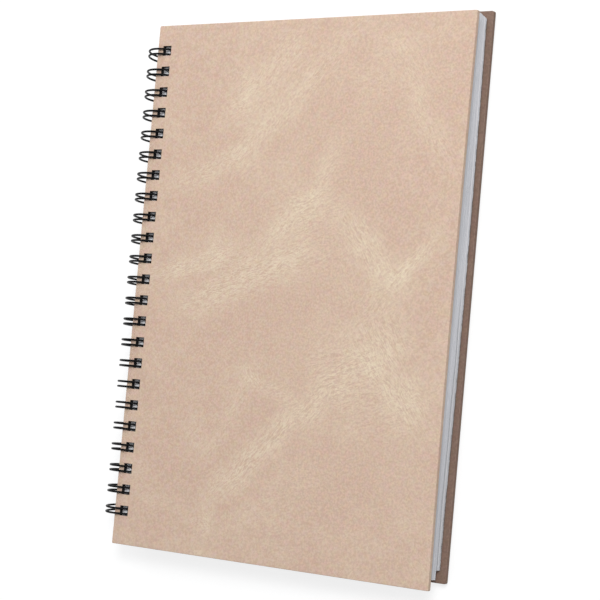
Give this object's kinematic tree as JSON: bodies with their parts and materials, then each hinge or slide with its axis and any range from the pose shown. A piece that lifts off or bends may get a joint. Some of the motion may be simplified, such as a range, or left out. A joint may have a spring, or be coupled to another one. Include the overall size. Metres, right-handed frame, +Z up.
{
  "type": "spiral notebook",
  "caption": "Closed wire-bound notebook: two leatherette boards and a block of pages on a black twin-loop wire along the left edge.",
  "frame": {"origin": "middle of the footprint, at the height of the lowest point of the wire", "axes": "+X from the bound edge to the fore-edge, +Y from the foot to the head, +Z up through the closed book to the front cover"},
  "size_m": [0.1572, 0.2122, 0.0164],
  "materials": {
    "front_cover": "pale beige leatherette, fine grain, matte",
    "back_cover": "brown leatherette, fine grain, matte",
    "paper": "uncoated white paper, trimmed edges",
    "wire": "black nylon-coated steel wire, satin"
  },
  "bodies": {
    "root": {"back_cover": "back_cover", "wire_comb": "wire"},
    "pages": {"page_block": "paper"},
    "front": {"front_cover": "front_cover"}
  },
  "joints": [
    {"name": "page_hinge", "type": "hinge", "parent": "root", "child": "pages", "pos_m": [-0.0704, 0.00022, 0.00818], "axis": [0, -1, 0], "range_deg": [0, 180]},
    {"name": "front_cover_hinge", "type": "hinge", "parent": "pages", "child": "front", "pos_m": [-0.0704, 0.00022, 0.00818], "axis": [0, -1, 0], "range_deg": [0, 180]}
  ]
}
